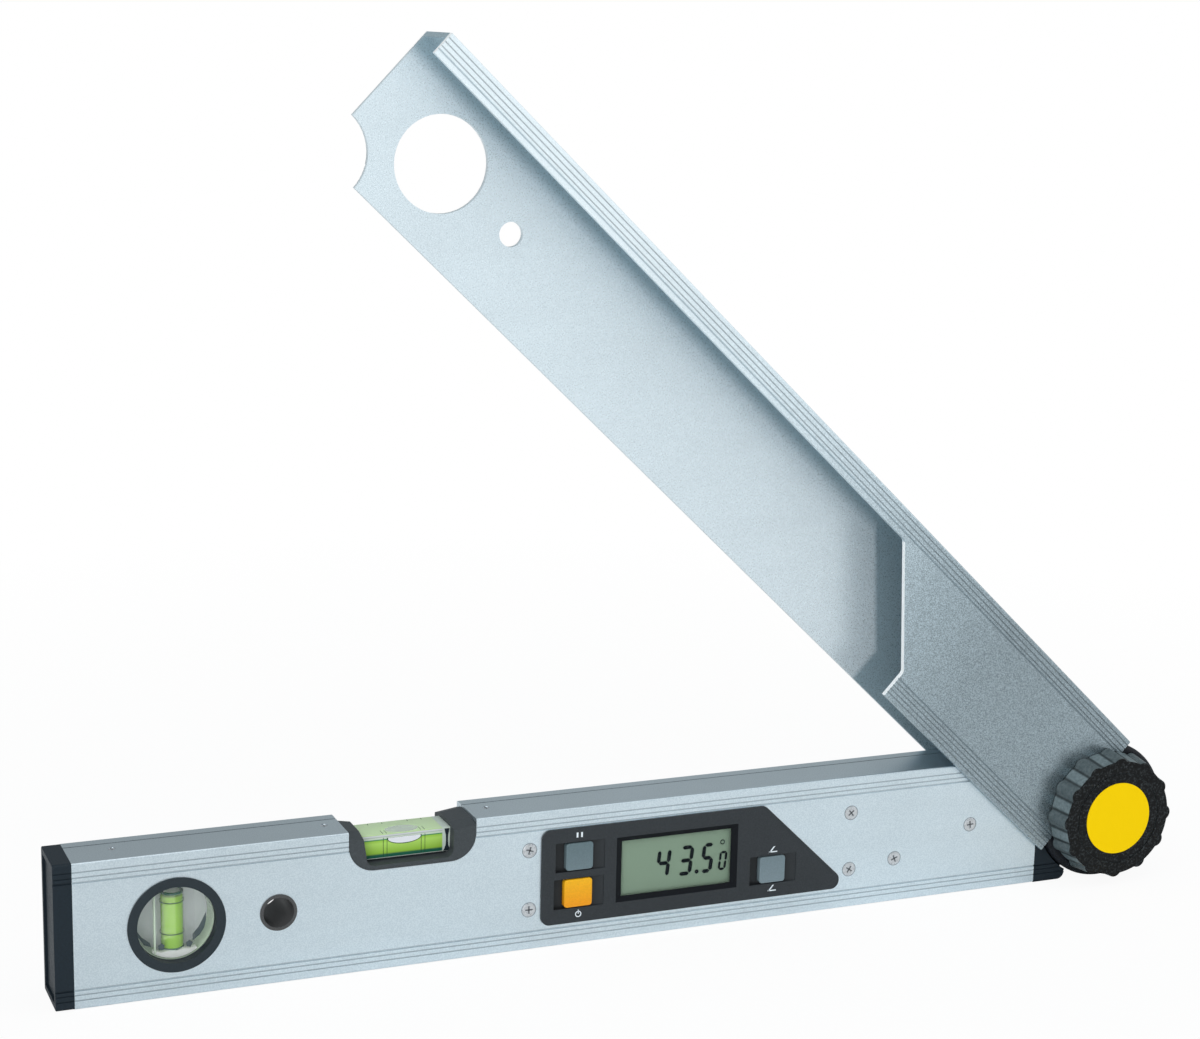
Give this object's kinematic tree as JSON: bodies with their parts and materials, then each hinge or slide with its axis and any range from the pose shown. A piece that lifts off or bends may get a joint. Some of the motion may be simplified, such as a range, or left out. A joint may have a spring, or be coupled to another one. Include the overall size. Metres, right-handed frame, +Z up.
{
  "type": "digital angle finder",
  "caption": "Digital angle finder: a hollow aluminium level bar with display and vials, and a U-shaped arm that folds over it on a round hub with a scalloped locking knob.",
  "frame": {"origin": "middle of the bar's flat base face", "axes": "+X along the bar towards the pivot, +Y from the display side to the back, +Z up, square to the base face"},
  "size_m": [0.5071, 0.044, 0.3763],
  "materials": {
    "anodised_aluminium": "fine blasted, satin anodised",
    "black_plastic": "fine grain",
    "clear_acrylic": "clear polished",
    "vial_liquid": "clear liquid",
    "display_pane": "clear polished",
    "lcd_glass": "semi gloss",
    "grey_button": "satin",
    "orange_button": "satin",
    "board_green": "solder mask",
    "steel": "zinc plated",
    "brass": "turned",
    "cell_wrap": "plain wrap",
    "cable_sleeve": "flat ribbon",
    "yellow_label": "smooth film"
  },
  "bodies": {
    "level_bar": {"lower_arm_extrusion": "anodised_aluminium", "end_cap": "black_plastic", "top_vial_saddle": "black_plastic", "plumb_vial_front_ring": "black_plastic", "plumb_vial_rear_ring": "black_plastic", "hang_hole_grommet": "black_plastic", "display_bezel": "black_plastic", "display_chassis": "black_plastic", "pivot_insert": "black_plastic", "battery_tray": "black_plastic", "battery_cover": "black_plastic", "top_vial_block": "clear_acrylic", "plumb_vial_block": "clear_acrylic", "plumb_vial_tube": "clear_acrylic", "top_vial_liquid": "vial_liquid", "plumb_vial_liquid": "vial_liquid", "display_window": "display_pane", "lcd_panel": "lcd_glass", "circuit_board": "board_green", "angle_sensor_board": "board_green", "button_switches": "steel", "display_screws": "steel", "pivot_insert_screws": "steel", "top_screws": "steel", "battery_cover_screw": "steel", "battery_contacts": "steel", "pivot_bushing": "brass", "battery_cells": "cell_wrap", "sensor_cable": "cable_sleeve"},
    "folding_arm": {"upper_arm_channel": "anodised_aluminium", "front_hub_cheek": "black_plastic", "rear_hub_cheek": "black_plastic", "hub_rivets": "steel", "friction_rings": "black_plastic", "angle_sensor_rotor": "board_green", "pivot_bolt": "steel", "knob_washer": "steel"},
    "knob": {"lock_knob": "black_plastic", "knob_insert_nut": "brass", "knob_label_disc": "yellow_label"},
    "hold_button_body": {"hold_button": "grey_button"},
    "power_button_body": {"power_button": "orange_button"},
    "mode_button_body": {"mode_button": "grey_button"}
  },
  "joints": [
    {"name": "arm_hinge", "type": "hinge", "parent": "level_bar", "child": "folding_arm", "pos_m": [0.2506, 0, 0.032], "axis": [0, 1, 0], "range_deg": [-43.5, 136.5]},
    {"name": "knob_turn", "type": "hinge", "parent": "folding_arm", "child": "knob", "pos_m": [0.2506, -0.022, 0.032], "axis": [0, -1, 0], "range_deg": [0, 300]},
    {"name": "hold_press", "type": "slide", "parent": "level_bar", "child": "hold_button_body", "axis": [0, 1, 0], "range_m": [0, 0.0006], "stiffness_N_per_m": 600, "springref_m": -0.002},
    {"name": "power_press", "type": "slide", "parent": "level_bar", "child": "power_button_body", "axis": [0, 1, 0], "range_m": [0, 0.0006], "stiffness_N_per_m": 600, "springref_m": -0.002},
    {"name": "mode_press", "type": "slide", "parent": "level_bar", "child": "mode_button_body", "axis": [0, 1, 0], "range_m": [0, 0.0006], "stiffness_N_per_m": 600, "springref_m": -0.002}
  ]
}
